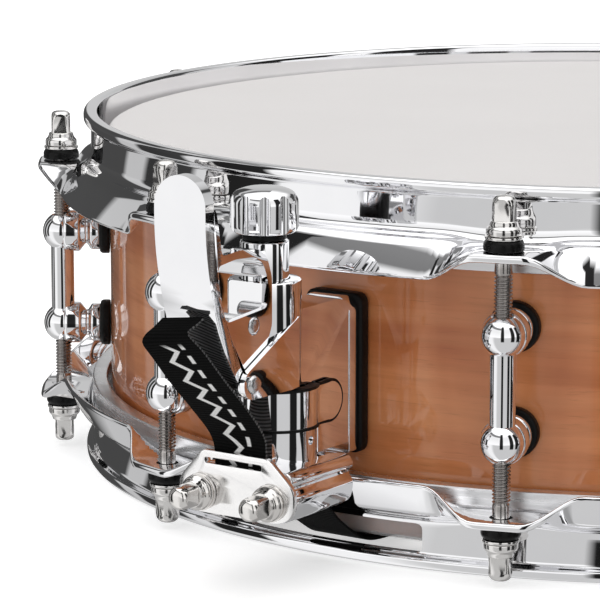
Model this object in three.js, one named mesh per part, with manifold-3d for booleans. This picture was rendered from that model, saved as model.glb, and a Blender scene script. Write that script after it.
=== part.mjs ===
// A 14 inch by 4 inch maple snare drum with pressed wave hoops, ball lugs and a lever strainer.
// Millimetres, +Z up. The origin is on the drum's axis, in the plane of the bottom rim.
// The strainer is at -Y and the butt plate at +Y. Angles run from -Y towards +X.
import * as THREE from 'three';
import { mergeVertices } from 'three/addons/utils/BufferGeometryUtils.js';
import Module from 'manifold-3d';

const wasm = await Module();
wasm.setup();

// Driving dimensions
const gap = 0.3;                      // between pieces that touch
const shellRadius = 177.8;            // 14 inch shell
const shellWall = 6;
const rimHeight = 115.2;              // bottom rim to top rim
const middle = rimHeight / 2;
const ringSides = 60;
const lugCount = 10;
const lugPitch = 2 * Math.PI / lugCount;
const rodCircle = 194;
const rodRadius = 2.75;
const earHalfWidth = 6.6;
const earReach = 201.5;
const earTop = 97.6;
const filmTop = 109.1;
const filmThickness = 0.4;
const strapWidth = 18;
const strapThickness = 0.8;
const ballHeight = 15.6;              // above and below the middle
const ballRadius = 6.45;

// Strainer dimensions: r is outward from the drum's axis, heights are from the middle of the drum
const towerR = 217;                   // axis of knob, lift tube and carriage
const towerRadius = 10.6;
const towerTop = 31;
const tubeRadius = 7;
const screwRadius = 2.5;
const pivotR = 237.4;
const pivotH = 4.7;
const camPinR = 234.5;
const camPinH = 20.8;
const pinRadius = 2.7;
const leverHalfWidth = 8.8;
const cheekWall = 1.9;
const sidePlateInner = 9.1;
const sidePlateOuter = 10.7;
const clampFace = 228.2;              // outer face of the clamp block
const clampPlateInner = clampFace + strapThickness + 0.4;
const clampPlateOuter = clampPlateInner + 2;
const clampScrewSpacing = 24.6;
const clampScrewH = -30.5;

const finishes = {
  chrome: { color: 0xd8dadc, metalness: 1, roughness: 0.08 },
  nickel: { color: 0xb9b4ac, metalness: 1, roughness: 0.25 },
  steel: { color: 0xa8a8a6, metalness: 1, roughness: 0.3 },
  aluminium: { color: 0xb5b6b8, metalness: 1, roughness: 0.4 },
  maple: { color: 0xb8764a, metalness: 0, roughness: 0.15 },
  coatedFilm: { color: 0xe9e8e6, metalness: 0, roughness: 0.7 },
  clearFilm: { color: 0xdfe3e6, metalness: 0, roughness: 0.25 },
  rubber: { color: 0x151515, metalness: 0, roughness: 0.7 },
  webbing: { color: 0x1b1a1c, metalness: 0, roughness: 0.9 },
};

const drum = new THREE.Group();

function add(name, finish, geometry, angle = 0) {
  const material = new THREE.MeshStandardMaterial(finishes[finish]);
  const mesh = new THREE.Mesh(closed(geometry), material);
  mesh.name = name;
  mesh.rotation.z = angle;
  drum.add(mesh);
}

// Shared corners, no collapsed triangles, faces pointing out
function closed(source) {
  const bare = source.clone().deleteAttribute('uv').deleteAttribute('normal');
  const merged = mergeVertices(bare, 1e-3);
  const place = merged.attributes.position;
  const corners = [0, 1, 2].map(() => new THREE.Vector3());
  const kept = [];
  let volume = 0;
  for (let i = 0; i < merged.index.count; i += 3) {
    const face = [0, 1, 2].map((k) => merged.index.getX(i + k));
    if (new Set(face).size < 3) continue;
    face.forEach((vertex, k) => corners[k].fromBufferAttribute(place, vertex));
    volume += corners[0].dot(corners[1].clone().cross(corners[2]));
    kept.push(face);
  }
  const indices = kept.flatMap((face) => (volume < 0 ? [face[0], face[2], face[1]] : face));
  const result = new THREE.BufferGeometry();
  result.setAttribute('position', place);
  result.setIndex(indices);
  return result;
}

function solid(geometry) {
  const shape = closed(geometry);
  const vertProperties = new Float32Array(shape.attributes.position.array);
  const triVerts = new Uint32Array(shape.index.array);
  return new wasm.Manifold(new wasm.Mesh({ numProp: 3, vertProperties, triVerts }));
}

function geometryOf(body) {
  const { vertProperties, triVerts } = body.getMesh();
  const geometry = new THREE.BufferGeometry();
  geometry.setAttribute('position', new THREE.BufferAttribute(vertProperties, 3));
  geometry.setIndex(new THREE.BufferAttribute(triVerts, 1));
  return geometry;
}

const joined = (...bodies) => bodies.reduce((whole, body) => whole.add(body));

// A profile of [radius, height] turned about the vertical
function turned(profile, sides) {
  const points = profile.map(([radius, height]) => new THREE.Vector2(radius, height));
  return new THREE.LatheGeometry(points, sides).rotateX(Math.PI / 2);
}

const ring = (profile, sides) => turned([...profile, profile[0]], sides);

function upright(radius, low, high, r, sides) {
  const height = high - low;
  const bar = new THREE.CylinderGeometry(radius, radius, height, sides).rotateX(Math.PI / 2);
  return bar.translate(0, -r, low + height / 2);
}

// A bar along the tangent, from t = -halfLength to +halfLength
function crossBar(radius, halfLength, r, z, sides) {
  const bar = new THREE.CylinderGeometry(radius, radius, 2 * halfLength, sides);
  return bar.rotateZ(Math.PI / 2).translate(0, -r, z);
}

// A [radius, r] profile turned about a line that points outward from the drum
function outward(profile, t, z, sides) {
  return turned(profile, sides).rotateX(Math.PI / 2).translate(t, 0, z);
}

function box(tLow, tHigh, rLow, rHigh, zLow, zHigh) {
  const block = new THREE.BoxGeometry(tHigh - tLow, rHigh - rLow, zHigh - zLow);
  return block.translate((tLow + tHigh) / 2, -(rLow + rHigh) / 2, (zLow + zHigh) / 2);
}

// An outline of [r, z] points given a width along the tangent
function sideways(outline, tLow, tHigh) {
  const shape = new THREE.Shape(outline.map(([r, z]) => new THREE.Vector2(r, z)));
  const slab = new THREE.ExtrudeGeometry(shape, { depth: tHigh - tLow, bevelEnabled: false });
  const axes = new THREE.Matrix4().makeBasis(
    new THREE.Vector3(0, -1, 0), new THREE.Vector3(0, 0, 1), new THREE.Vector3(-1, 0, 0));
  return slab.applyMatrix4(axes).translate(tHigh, 0, 0);
}

// An outline of [t, z] points given a depth along r
function facing(outline, rLow, rHigh) {
  const shape = new THREE.Shape(outline.map(([t, z]) => new THREE.Vector2(t, z)));
  const slab = new THREE.ExtrudeGeometry(shape, { depth: rHigh - rLow, bevelEnabled: false });
  return slab.rotateX(Math.PI / 2).translate(0, -rLow, 0);
}

function arc(centreU, centreV, radius, fromDegrees, toDegrees, steps) {
  return Array.from({ length: steps + 1 }, (_, i) => {
    const a = THREE.MathUtils.degToRad(fromDegrees + (toDegrees - fromDegrees) * i / steps);
    return [centreU + radius * Math.cos(a), centreV + radius * Math.sin(a)];
  });
}

const mirrorDown = (profile) => profile.map(([radius, height]) => [radius, rimHeight - height]);
const raised = (outline) => outline.map(([u, v]) => [u, v + middle]);

// Shell, with its two bearing edges and the vent hole
const edgeHeight = 108.2;
const edgeTop = [
  [shellRadius, edgeHeight - 2.2], [shellRadius - 1, edgeHeight],
  [shellRadius - shellWall, edgeHeight - 5],
];
const ventRadius = 5;
const ventAngle = 2 * lugPitch;
const vent = solid(outward([[0, 160], [ventRadius, 160], [ventRadius, 190], [0, 190]], 0, middle, 12));
const shellBody = solid(ring([...edgeTop, ...mirrorDown(edgeTop).reverse()], ringSides));
add('shell', 'maple', geometryOf(
  shellBody.subtract(vent.rotate([0, 0, THREE.MathUtils.radToDeg(ventAngle)]))));
add('vent_grommet', 'nickel', outward([
  [3.5, shellRadius - 7], [4.6, shellRadius - 7], [4.6, shellRadius + gap],
  [7, shellRadius + gap], [7, shellRadius + 1.2], [3.5, shellRadius + 1.2],
  [3.5, shellRadius - 7]], 0, middle, 12), ventAngle);

// Heads: a flat film, and a flesh hoop with the collar that comes up to the bearing edge
const filmRadius = 176.4;
const film = [[0, filmTop - filmThickness], [filmRadius, filmTop - filmThickness],
  [filmRadius, filmTop], [0, filmTop]];
const fleshHoop = [
  [filmRadius + gap, filmTop], [178.5, 107.4], [180.2, 97], [184.2, 96.9], [184.2, 89.5],
  [179.2, 89.5], [179.2, 96.6], [178.2, 106.9], [filmRadius + gap, filmTop - 0.5],
];
add('batter_film', 'coatedFilm', turned(film, ringSides));
add('batter_flesh_hoop', 'aluminium', ring(fleshHoop, ringSides));
add('snare_side_film', 'clearFilm', turned(mirrorDown(film), ringSides));
add('snare_side_flesh_hoop', 'aluminium', ring(mirrorDown(fleshHoop), ringSides));

// Wave hoops: flat ears at the rods, and a skirt that dips over the flesh hoop between them
const wallSection = [
  [181.6, 97.2], [181.6, rimHeight], [186.3, rimHeight], [186.3, 112], [183.9, 111.2],
  [183.9, 100.4],
];
const earSection = [
  [186.6, earTop], [earReach, earTop], [earReach, 95.1], [185, 95.1], [184.7, 97.2]];
const skirtSection = [[188.6, 98.6], [194.4, 88.4], [193.4, 87.4], [186, 96.2], [184.7, 97.2]];
const skirtStart = 24;                // distance from the rod at which the skirt is full
const sectionStops = [0, earHalfWidth, 12, 18, skirtStart, 42];

function hoopSection(distance) {
  const share = THREE.MathUtils.smoothstep(distance, earHalfWidth, skirtStart);
  const flange = earSection.map(([radius, height], i) => [
    THREE.MathUtils.lerp(radius, skirtSection[i][0], share),
    THREE.MathUtils.lerp(height, skirtSection[i][1], share)]);
  return [...wallSection, ...flange];
}

function hoopAngles() {
  const halfPitch = lugPitch * rodCircle / 2;
  const stops = [...sectionStops, halfPitch, ...sectionStops.slice(1).reverse().map((s) => -s)];
  return Array.from({ length: lugCount }, (_, lug) => stops.map((stop) => ({
    angle: (lug + 0.5) * lugPitch + stop / rodCircle + (stop < 0 ? lugPitch : 0),
    distance: Math.abs(stop),
  }))).flat();
}

function hoopGeometry() {
  const rows = hoopAngles().map(({ angle, distance }) => hoopSection(distance).map(
    ([radius, height]) => [radius * Math.sin(angle), -radius * Math.cos(angle), height]));
  const across = rows[0].length;
  const indices = rows.flatMap((_, i) => rows[0].flatMap((__, j) => {
    const [a, b] = [i * across + j, i * across + (j + 1) % across];
    const [c, d] = [a, b].map((corner) => (corner + across) % (rows.length * across));
    return [a, b, d, a, d, c];
  }));
  const geometry = new THREE.BufferGeometry();
  geometry.setAttribute('position', new THREE.Float32BufferAttribute(rows.flat(2), 3));
  geometry.setIndex(indices);
  return geometry;
}

const holeSides = 8;
const rodHole = solid(upright(rodRadius + 0.6, 80, rimHeight - 14, rodCircle, holeSides));
const gateHalfWidth = 31;
const snareGate = solid(box(-gateHalfWidth, gateHalfWidth, 176, 190, 4.4, 13.3));
const lugAngles = Array.from({ length: lugCount }, (_, i) => (i + 0.5) * lugPitch);

function drilledHoop() {
  return lugAngles.reduce((hoop, angle) => hoop.subtract(
    rodHole.rotate([0, 0, THREE.MathUtils.radToDeg(angle)])), solid(hoopGeometry()));
}

const topHoop = drilledHoop();
const bottomHoop = topHoop.rotate([0, 180, 0]).translate([0, 0, rimHeight]);
add('top_hoop', 'chrome', geometryOf(topHoop));
add('bottom_hoop', 'chrome', geometryOf(
  bottomHoop.subtract(snareGate).subtract(snareGate.rotate([0, 0, 180]))));

// Lugs: two balls on posts with a tube between them, bored for the rods
const lugSides = 8;
const postProfile = [
  [0, shellRadius + gap], [7.6, shellRadius + gap], [7.6, 181], [4.4, 182.2], [4.4, 187],
  [7, 187.6], [7, 193], [0, 193],
];

function lugGeometry() {
  const halves = [-1, 1].map((side) => {
    const z = middle + side * ballHeight;
    const ball = new THREE.SphereGeometry(ballRadius, lugSides, 6).rotateX(Math.PI / 2);
    return solid(ball.translate(0, -rodCircle, z)).add(solid(outward(postProfile, 0, z, lugSides)));
  });
  const tube = solid(upright(3.85, middle - ballHeight, middle + ballHeight, rodCircle, lugSides));
  const bore = solid(upright(rodRadius + 0.4, 20, 100, rodCircle, lugSides));
  return geometryOf(joined(...halves, tube).subtract(bore));
}

// Tension rods: threaded shank, washers, collar and a head for a drum key
const rodProfile = [
  [0, 65], [rodRadius, 65], [rodRadius, earTop + gap], [5.9, earTop + gap], [5.9, 101.6],
  [5.2, 104.6], [3.7, 106], [3.4, 112.6], [0, 113.7],
];
const lug = lugGeometry();
lugAngles.forEach((angle, i) => {
  add(`lug_${i + 1}`, 'chrome', lug, angle);
  add(`top_tension_rod_${i + 1}`, 'nickel',
    turned(rodProfile, lugSides).translate(0, -rodCircle, 0), angle);
  add(`bottom_tension_rod_${i + 1}`, 'nickel',
    turned(mirrorDown(rodProfile), lugSides).translate(0, -rodCircle, 0), angle);
});

// Strainer housing: base plate on a rubber pad, neck, round tower and two side plates for the pivot
const towerSides = 20;
const padFace = 182.5;
const housingFloor = -0.2;
const guideHalfWidth = 8.7;              // rail under the neck that the carriage straddles
const guideR = 203;
add('strainer_pad', 'rubber', facing(raised([
  ...arc(7, 19, 3, 0, 90, 2), ...arc(-7, 19, 3, 90, 180, 2),
  ...arc(-7, -23, 3, 180, 270, 2), ...arc(7, -23, 3, 270, 360, 2)]),
shellRadius + gap, padFace));
const sidePlateOutline = raised([
  [towerR, housingFloor], ...arc(pivotR, pivotH, 4.4, 270, 425, 4), [towerR, 19.4]]);
const housingBody = joined(
  solid(facing(raised([[-9, -25], [9, -25], [9, 18], [6, 21.5], [-6, 21.5], [-9, 18]]),
    padFace + gap, 187)),
  solid(box(-8.7, 8.7, 186, 211, middle + housingFloor, middle + 22)),
  solid(box(-guideHalfWidth, guideHalfWidth, 186, guideR, middle - 21.5, middle + housingFloor + 1)),
  solid(upright(towerRadius, middle + housingFloor, middle + towerTop, towerR, towerSides)),
  solid(sideways(sidePlateOutline, sidePlateInner, sidePlateOuter)),
  solid(sideways(sidePlateOutline, -sidePlateOuter, -sidePlateInner)));
const pinHole = (r, z) => solid(crossBar(pinRadius + 0.3, 20, r, middle + z, 12));
add('strainer_housing', 'chrome', geometryOf(housingBody
  .subtract(solid(upright(tubeRadius + 0.4, middle - 10, middle + 50, towerR, towerSides)))
  .subtract(solid(box(-sidePlateInner, sidePlateInner, 225.2, 250, middle - 10, middle + 50)))
  .subtract(pinHole(pivotR, pivotH))));
add('lever_pivot_pin', 'steel', crossBar(pinRadius, 11.8, pivotR, middle + pivotH, 10));

// Lift tube, its rubber ring, the adjusting screw and the fluted knob
const knobFloor = 44.3;
const knobTop = 57.5;
const knobRadius = 9.85;
const fluteCount = 10;
add('lift_tube', 'chrome', ring([
  [screwRadius + 0.3, 0.4], [tubeRadius, 0.4], [tubeRadius, 42], [screwRadius + 0.3, 42]],
towerSides).translate(0, -towerR, middle));
add('knob_ring', 'rubber', ring([
  [screwRadius + 0.3, 42.3], [6.35, 42.3], [6.35, 44], [screwRadius + 0.3, 44]],
16).translate(0, -towerR, middle));
add('adjusting_screw', 'steel', upright(
  screwRadius, middle - 20, middle + knobFloor + 3, towerR, 10));
const knobBlank = solid(turned([
  [0, knobFloor], [knobRadius - 1, knobFloor], [knobRadius, knobFloor + 1.5],
  [knobRadius, 54.5], [7, 56.7], [0, knobTop]], 4 * fluteCount));
const screwSocket = solid(upright(screwRadius + 0.3, 40, knobFloor + 3.3, 0, 10));
const flutes = Array.from({ length: fluteCount }, (_, i) => solid(
  upright(1.7, 40, 60, knobRadius + 0.7, 6).rotateZ((i + 0.5) * 2 * Math.PI / fluteCount)));
const knob = flutes.reduce((body, flute) => body.subtract(flute), knobBlank.subtract(screwSocket));
add('adjusting_knob', 'chrome', geometryOf(knob.translate([0, -towerR, middle])));

// Throw-off lever: a bent thumb plate with two cheeks, and a saddle that closes over the tower
const leverFace = [[257, 65.5], [257.2, 45], [252.5, 25], [246.5, 12], [241.6, 4.9]];
const leverBack = leverFace.map(([r, z]) => [r - 2.2, z + (z > 60 ? 0 : 0.6)]).reverse();
const cheekOutline = raised([
  [257, 58], [257.2, 45], [252.5, 25], [246.5, 12], ...arc(pivotR, pivotH, 4.1, 0, -180, 5),
  [225.7, 19.5], [225.7, 34], [228, 39.5], [232.4, 42.3], [241, 43.2], [250, 42.4], [253, 58],
]);
const windowOutline = raised([
  [228.2, 25], [227.7, 33], [230, 38], [234, 40.3], [243, 40.9], [251.2, 40], [250.4, 28],
  [247, 23.5],
]);
const saddleOutline = raised([
  [225.7, 33], [228, 39.5], [232.4, 42.3], [241, 43.2], [250, 42.4], [254, 44], [254, 42],
  [250, 40], [241, 41], [234, 40.3], [230, 38], [227.7, 33],
]);
const leverOutline = raised([
  [-leverHalfWidth, -5], [leverHalfWidth, -5], ...arc(0, 65.5 - leverHalfWidth, leverHalfWidth, 0, 180, 8)]);
const cheek = (tLow, tHigh) => solid(sideways(cheekOutline, tLow, tHigh));
const leverBody = joined(
  solid(sideways(raised([...leverFace, ...leverBack]), -leverHalfWidth, leverHalfWidth)),
  cheek(leverHalfWidth - cheekWall, leverHalfWidth),
  cheek(-leverHalfWidth, cheekWall - leverHalfWidth),
  solid(sideways(saddleOutline, -leverHalfWidth, leverHalfWidth)));
add('throw_lever', 'chrome', geometryOf(leverBody
  .subtract(solid(sideways(windowOutline, -20, 20)))
  .subtract(pinHole(pivotR, pivotH))
  .subtract(pinHole(camPinR, camPinH))
  .intersect(solid(facing(leverOutline, 200, 280)))));
add('lever_cam_pin', 'steel', crossBar(pinRadius, leverHalfWidth, camPinR, middle + camPinH, 10));

// Carriage: round slide under the tower, and the clamp block that holds the strap
const blockHalfWidth = 17.5;
const blockTop = -22;
const blockFloor = -39;
const screwHoles = [-1, 1].map((side) => solid(outward([
  [0, 216], [screwRadius + 0.3, 216], [screwRadius + 0.3, 240], [0, 240]],
side * clampScrewSpacing / 2, middle + clampScrewH, 10)));
const blockProfile = raised([
  [196, blockFloor + 3], [199, blockFloor], [clampFace, blockFloor], [clampFace, blockTop],
  [202, blockTop], [196, blockTop - 5]]);
const carriageR = 211.5;
const carriageBody = joined(
  solid(upright(12.3, middle - 12.5, middle - 1.3, carriageR, towerSides)),
  solid(box(-10.4, 10.4, 200, carriageR, middle - 12.5, middle - 1.3)),
  solid(crossBar(5.6, 10.4, 198.5, middle - 6.9, 16)),
  solid(upright(11.9, middle - 23, middle - 12, carriageR, towerSides)),
  solid(sideways(blockProfile, -blockHalfWidth, blockHalfWidth)));
const guideSlot = solid(box(
  -guideHalfWidth - 0.4, guideHalfWidth + 0.4, 180, guideR + 0.5, middle + blockTop, middle));
const channelHalfWidth = strapWidth / 2 + 0.4;
const channelTop = -33.8;
const strapChannel = solid(box(
  -channelHalfWidth, channelHalfWidth, 190, 235, middle + blockFloor - 1, middle + channelTop));
add('strainer_carriage', 'chrome', geometryOf(
  screwHoles.reduce((body, hole) => body.subtract(hole), carriageBody).subtract(strapChannel).subtract(guideSlot).subtract(
    solid(upright(screwRadius + 0.3, middle - 21.5, middle + 5, towerR, 10)))));

// Clamp plates: slotted tab at the top, two key screws through the corners
const plateOutline = [
  [-20, -27], [-12, -18], [11, -18], [20, -26], [20, -32], ...arc(14.5, -31, 5.5, -10, -90, 3),
  ...arc(-14.5, -31, 5.5, -90, -170, 3)];
const slotOutline = [[-11, -21.8], [9, -21.8], [9, -20.1], [-11, -20.1]];

function clampPlate(rInner, rOuter, holes) {
  const plate = solid(facing(raised(plateOutline), rInner, rOuter));
  const slot = solid(facing(raised(slotOutline), rInner - 5, rOuter + 5));
  return holes.reduce((body, hole) => body.subtract(hole), plate.subtract(slot));
}

function clampScrew(faceR, side) {
  return outward([
    [0, faceR - 10], [screwRadius, faceR - 10], [screwRadius, faceR + gap],
    [5, faceR + gap], [5, faceR + 2.6], [3.6, faceR + 3.6], [3.3, faceR + 11.5],
    [0, faceR + 12.5]], side * clampScrewSpacing / 2, middle + clampScrewH, 10);
}

add('clamp_plate', 'chrome', geometryOf(clampPlate(clampPlateInner, clampPlateOuter, screwHoles)));
add('clamp_screw_left', 'nickel', clampScrew(clampPlateOuter, -1));
add('clamp_screw_right', 'nickel', clampScrew(clampPlateOuter, 1));

// Straps: a ribbon through points of [r, z], z from the bottom rim
function ribbon(route) {
  const half = strapThickness / 2;
  const sides = route.map(([r, z], i) => {
    const [rBefore, zBefore] = route[Math.max(i - 1, 0)];
    const [rAfter, zAfter] = route[Math.min(i + 1, route.length - 1)];
    const length = Math.hypot(rAfter - rBefore, zAfter - zBefore);
    const [nr, nz] = [-(zAfter - zBefore) / length, (rAfter - rBefore) / length];
    return [[r + nr * half, z + nz * half], [r - nr * half, z - nz * half]];
  });
  const outline = [...sides.map((pair) => pair[0]), ...sides.map((pair) => pair[1]).reverse()];
  return sideways(outline, -strapWidth / 2, strapWidth / 2);
}

const strapR = clampFace + 0.2 + strapThickness / 2;
const gateRun = [[153, 3], [170, 3.6], [178, 5], [184, 8]];
add('strap_run', 'webbing', ribbon([
  ...gateRun, [192, 13.5], [199, 20], [204, 22.3], [222, 22.4], [strapR - 1, 22.5], [strapR, 23.4],
  [strapR, 28]]));
add('strap_tail', 'webbing', ribbon([
  [strapR, 28.6], [strapR, 42], [234, 51], [245, 62], [256, 71.5], [259.8, 76], [258.8, 78.6],
  [255.6, 79.6], [254.2, 83.2]]));

// Snare wires: twenty strands between two end plates, under the snare-side head
const strandCount = 20;
const strandPitch = 2.1;
const wireReach = 150;
const strands = Array.from({ length: strandCount }, (_, i) => {
  const t = (i - (strandCount - 1) / 2) * strandPitch;
  return solid(box(t - 0.7, t + 0.7, -wireReach - 1, wireReach + 1, 4, 5.6));
});
const endPlates = [-1, 1].map((side) => solid(
  box(-22, 22, side * (wireReach + 5) - 6, side * (wireReach + 5) + 6, 3.9, 5.7)));
add('snare_wires', 'steel', geometryOf(joined(...strands, ...endPlates)));

// Butt plate, opposite the strainer: pad, bracket, clamp plate, screws and strap
const buttFace = 212;
const buttPlateOuter = buttFace + 3.2;
const buttHoles = [-1, 1].map((side) => solid(outward([
  [0, 200], [screwRadius + 0.3, 200], [screwRadius + 0.3, 225], [0, 225]],
side * clampScrewSpacing / 2, middle + clampScrewH, 10)));
const buttProfile = [
  [180.8, 31], [200, 31], [203, 28], [203, 18.6], [buttFace, 18.6], [buttFace, 36],
  [207, 41], [188, 46], [184.5, 58], [180.8, 58]];
add('butt_pad', 'rubber', box(-19, 19, shellRadius + gap, 180.5, 30, 59), Math.PI);
add('butt_bracket', 'chrome', geometryOf(buttHoles.reduce((body, hole) => body.subtract(hole),
  solid(sideways(buttProfile, -17.5, 17.5)))), Math.PI);
add('butt_clamp_plate', 'chrome', geometryOf(
  clampPlate(buttFace + 1.2, buttPlateOuter, buttHoles)), Math.PI);
add('butt_screw_left', 'nickel', clampScrew(buttPlateOuter, -1), Math.PI);
add('butt_screw_right', 'nickel', clampScrew(buttPlateOuter, 1), Math.PI);
add('butt_strap', 'webbing', ribbon([
  ...gateRun, [198, 11.5], [208, 13.6], [buttFace + 0.2, 15.6], [buttFace + 0.6, 18.6],
  [buttFace + 0.6, 42], [215, 45.5], [219, 47.5]]), Math.PI);

export default drum;
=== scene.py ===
import math
import bpy
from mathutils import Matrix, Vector


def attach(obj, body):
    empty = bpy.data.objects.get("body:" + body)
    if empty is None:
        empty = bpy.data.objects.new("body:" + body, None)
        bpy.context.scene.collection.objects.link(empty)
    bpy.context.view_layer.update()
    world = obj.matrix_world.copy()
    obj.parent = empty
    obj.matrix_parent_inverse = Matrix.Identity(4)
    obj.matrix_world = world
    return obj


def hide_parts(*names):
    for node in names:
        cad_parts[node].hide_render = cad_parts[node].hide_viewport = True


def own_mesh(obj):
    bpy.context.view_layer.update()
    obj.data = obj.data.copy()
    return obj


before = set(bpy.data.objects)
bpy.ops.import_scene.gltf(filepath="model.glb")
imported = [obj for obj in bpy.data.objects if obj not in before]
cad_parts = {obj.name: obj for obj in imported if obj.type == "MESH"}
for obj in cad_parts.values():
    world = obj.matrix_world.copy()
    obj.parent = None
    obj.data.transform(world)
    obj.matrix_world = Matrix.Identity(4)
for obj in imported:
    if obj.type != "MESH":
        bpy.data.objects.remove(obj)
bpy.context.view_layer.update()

unit = 0.001                  # drawings are in millimetres, the scene in metres
rimHeight = 115.2             # bottom rim to top rim
middle = rimHeight / 2
lugPitch = math.radians(36)
lugAngles = [lugPitch * (i + 0.5) for i in range(10)]
rodCircle = 194
towerR = 217                  # axis of knob, lift tube and tower


# shaping by hand

def deselectAll():
    active = bpy.context.view_layer.objects.active
    if active and active.mode == "EDIT":
        bpy.ops.object.mode_set(mode="OBJECT")
    bpy.ops.object.select_all(action="DESELECT")


def pick(piece):
    deselectAll()
    piece.select_set(True)
    bpy.context.view_layer.objects.active = piece


def named(name):
    piece = bpy.context.view_layer.objects.active
    piece.name = name
    piece.data.name = name
    return piece


def drawChain(points):
    # a plane merged to one vertex, then drawn out point by point
    deselectAll()
    bpy.ops.mesh.primitive_plane_add(size=0.01, location=(0, 0, 0))
    bpy.ops.object.mode_set(mode="EDIT")
    bpy.ops.mesh.select_all(action="SELECT")
    bpy.ops.mesh.merge(type="CENTER")
    bpy.ops.transform.translate(value=Vector(points[0]) * unit)
    for start, end in zip(points, points[1:]):
        step = (Vector(end) - Vector(start)) * unit
        bpy.ops.mesh.extrude_vertices_move(TRANSFORM_OT_translate={"value": step})


def closeChain():
    piece = bpy.context.view_layer.objects.active
    bpy.ops.mesh.select_all(action="DESELECT")
    bpy.ops.object.mode_set(mode="OBJECT")
    piece.data.vertices[0].select = True
    piece.data.vertices[-1].select = True
    bpy.ops.object.mode_set(mode="EDIT")
    bpy.ops.mesh.edge_face_add()
    bpy.ops.mesh.select_all(action="SELECT")


def settle(name):
    # doubles merged first, then every face turned outwards
    bpy.ops.mesh.select_all(action="SELECT")
    bpy.ops.mesh.remove_doubles(threshold=2e-6)
    bpy.ops.mesh.select_all(action="SELECT")
    bpy.ops.mesh.normals_make_consistent(inside=False)
    bpy.ops.object.mode_set(mode="OBJECT")
    return named(name)


def turn(name, profile, steps, centre=(0, 0), axis="Z", ring=True):
    # profile is (radius, place along the axis); centre is the axis in the plane across it
    u, v = centre
    place = {
        "Z": lambda a, b: (u + a, v, b),
        "Y": lambda a, b: (u + a, -b, v),
        "X": lambda a, b: (b, -u, v + a),
    }[axis]
    pivot = {"Z": (u, v, 0), "Y": (u, 0, v), "X": (0, -u, v)}[axis]
    along = {"Z": (0, 0, 1), "Y": (0, 1, 0), "X": (1, 0, 0)}[axis]
    drawChain([place(a, b) for a, b in profile])
    if ring:
        closeChain()
    bpy.ops.mesh.select_all(action="SELECT")
    bpy.ops.mesh.spin(steps=steps, angle=2 * math.pi, center=Vector(pivot) * unit, axis=along)
    return settle(name)


def slab(name, outline, low, high, plane):
    # side: (r, z) drawn along x; front: (x, z) drawn along r; level: (x, r) drawn along z
    place = {
        "side": lambda a, b: (low, -a, b),
        "front": lambda a, b: (a, -low, b),
        "level": lambda a, b: (a, -b, low),
    }[plane]
    step = {"side": (1, 0, 0), "front": (0, -1, 0), "level": (0, 0, 1)}[plane]
    drawChain([place(a, b) for a, b in outline])
    closeChain()
    bpy.ops.mesh.edge_face_add()
    bpy.ops.mesh.select_all(action="SELECT")
    bpy.ops.mesh.extrude_region_move(
        TRANSFORM_OT_translate={"value": Vector(step) * (high - low) * unit})
    return settle(name)


def bar(name, radius, low, high, centre, axis, steps=32):
    return turn(name, [(0, low), (radius, low), (radius, high), (0, high)], steps, centre, axis, ring=False)


def block(xLow, xHigh, rLow, rHigh, zLow, zHigh):
    return slab("block", [(xLow, zLow), (xHigh, zLow), (xHigh, zHigh), (xLow, zHigh)], rLow, rHigh, "front")


def join(name, *pieces):
    pick(pieces[0])
    for piece in pieces[1:]:
        piece.select_set(True)
    if len(pieces) > 1:
        bpy.ops.object.join()
    return named(name)


def carve(piece, operation, *others):
    for other in others:
        pick(piece)
        change = piece.modifiers.new("carve", "BOOLEAN")
        change.operation = operation
        change.solver = "EXACT"
        change.object = other
        bpy.ops.object.modifier_apply(modifier=change.name)
        bpy.data.objects.remove(other)
    return piece


def add(piece, *others):
    return carve(piece, "UNION", *others)


def cut(piece, *others):
    return carve(piece, "DIFFERENCE", *others)


def roundEdges(piece, width, segments=2, angle=32):
    pick(piece)
    edges = piece.modifiers.new("edges", "BEVEL")
    edges.width = width * unit
    edges.segments = segments
    edges.limit_method = "ANGLE"
    edges.angle_limit = math.radians(angle)
    bpy.ops.object.modifier_apply(modifier=edges.name)
    return piece


def smooth(piece, angle=38):
    pick(piece)
    bpy.ops.object.shade_smooth_by_angle(angle=math.radians(angle))
    return piece


def turnedCopy(piece, name, angle):
    pick(piece)
    bpy.ops.object.duplicate(linked=False)
    twin = named(name)
    twin.rotation_euler = (0, 0, angle)
    bpy.ops.object.transform_apply(location=False, rotation=True, scale=False)
    return twin


def flippedCopy(piece, name):
    # half a turn about the Y axis at mid height
    pick(piece)
    bpy.ops.object.duplicate(linked=False)
    twin = named(name)
    twin.rotation_euler = (0, math.pi, 0)
    twin.location = (0, 0, rimHeight * unit)
    bpy.ops.object.transform_apply(location=True, rotation=True, scale=False)
    return twin


def softCorners(points, radii, steps=4, closed=True):
    # each corner becomes a short curve; radii is one number or one for each corner
    count = len(points)
    sizes = radii if isinstance(radii, list) else [radii] * count
    result = []
    for i, point in enumerate(points):
        if not closed and i in (0, count - 1):
            result.append(tuple(point))
            continue
        here = Vector(point)
        before = Vector(points[i - 1]) - here
        after = Vector(points[(i + 1) % count]) - here
        reach = min(sizes[i], before.length * 0.48, after.length * 0.48)
        start = here + before.normalized() * reach
        end = here + after.normalized() * reach
        for k in range(steps + 1):
            share = k / steps
            result.append(tuple((start.lerp(here, share)).lerp(here.lerp(end, share), share)))
    return result


def arc(centre, radius, fromAngle, toAngle, steps):
    angles = [math.radians(fromAngle + (toAngle - fromAngle) * i / steps) for i in range(steps + 1)]
    return [(centre[0] + radius * math.cos(a), centre[1] + radius * math.sin(a)) for a in angles]


def raised(outline):
    return [(a, b + middle) for a, b in outline]


def finish(piece, material, slotName, body, *nodes):
    piece.data.materials.clear()
    piece.data.materials.append(material)
    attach(piece, body)
    if nodes:
        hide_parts(*nodes)
    return piece


# materials

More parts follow.
